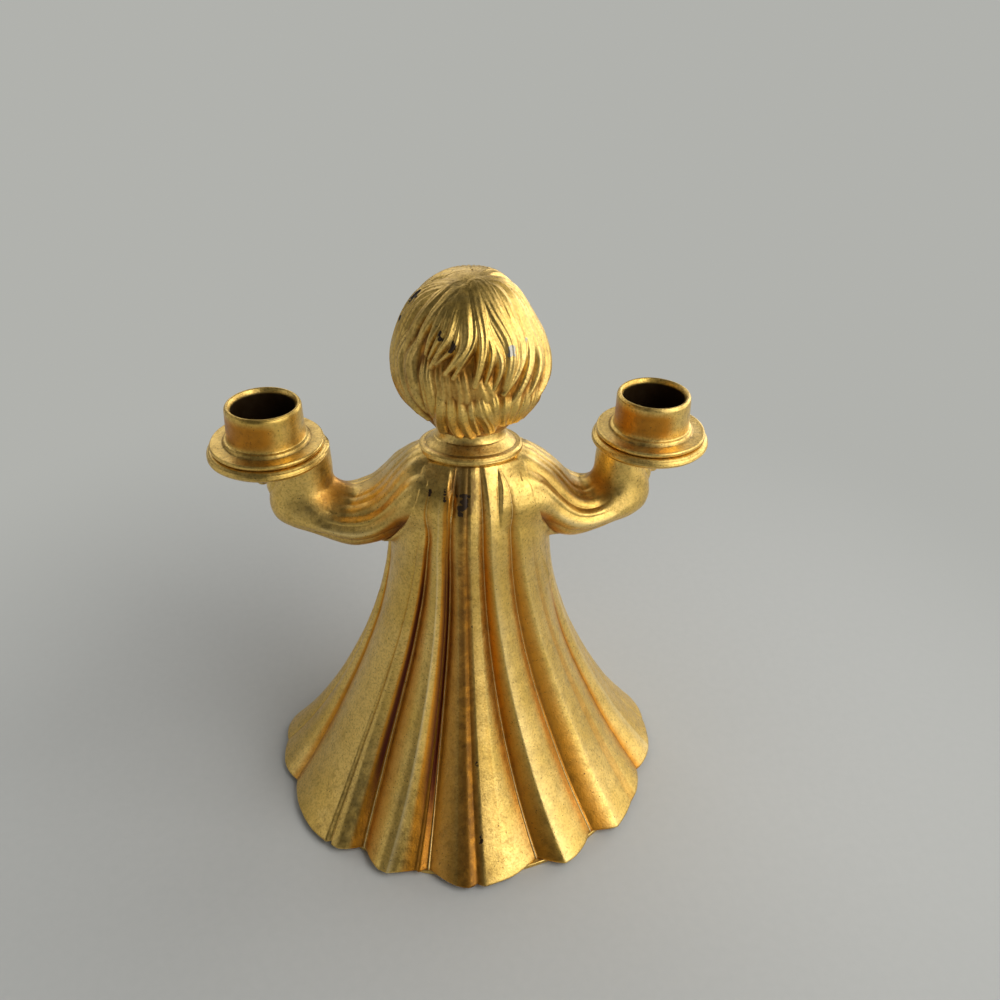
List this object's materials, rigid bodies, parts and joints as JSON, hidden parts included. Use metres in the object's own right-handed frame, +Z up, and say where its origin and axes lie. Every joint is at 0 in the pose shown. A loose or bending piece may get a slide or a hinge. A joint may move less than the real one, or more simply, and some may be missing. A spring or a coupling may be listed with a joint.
{
  "type": "figural candle holder",
  "caption": "Hollow moulded choir boy in a pleated robe, holding a drip pan and a candle cup on each raised hand; a gold candle holder for a table.",
  "frame": {"origin": "on the table under the figure's vertical axis, at the middle of the base plate", "axes": "+Z up, the figure faces -Y, its left hand is on +X"},
  "size_m": [0.1626, 0.114, 0.187],
  "materials": {
    "gold_robe": "worn satin gold lacquer over metallised plastic",
    "gold_head": "worn satin gold lacquer over metallised plastic",
    "gold_cup": "satin gold lacquer, bare dark plastic inside the bore",
    "amber_base": "thin gold lacquer over brown plastic",
    "screw_steel": "dull zinc"
  },
  "bodies": {
    "root": {"base_plate": "amber_base", "robe_back": "gold_robe", "robe_front": "gold_robe", "neck_collar": "gold_robe", "head_back": "gold_head", "head_front": "gold_head", "left_arm": "gold_robe", "right_arm": "gold_robe", "left_drip_pan": "gold_cup", "right_drip_pan": "gold_cup", "left_candle_cup": "gold_cup", "right_candle_cup": "gold_cup", "left_cup_screw": "screw_steel", "right_cup_screw": "screw_steel"}
  },
  "joints": []
}
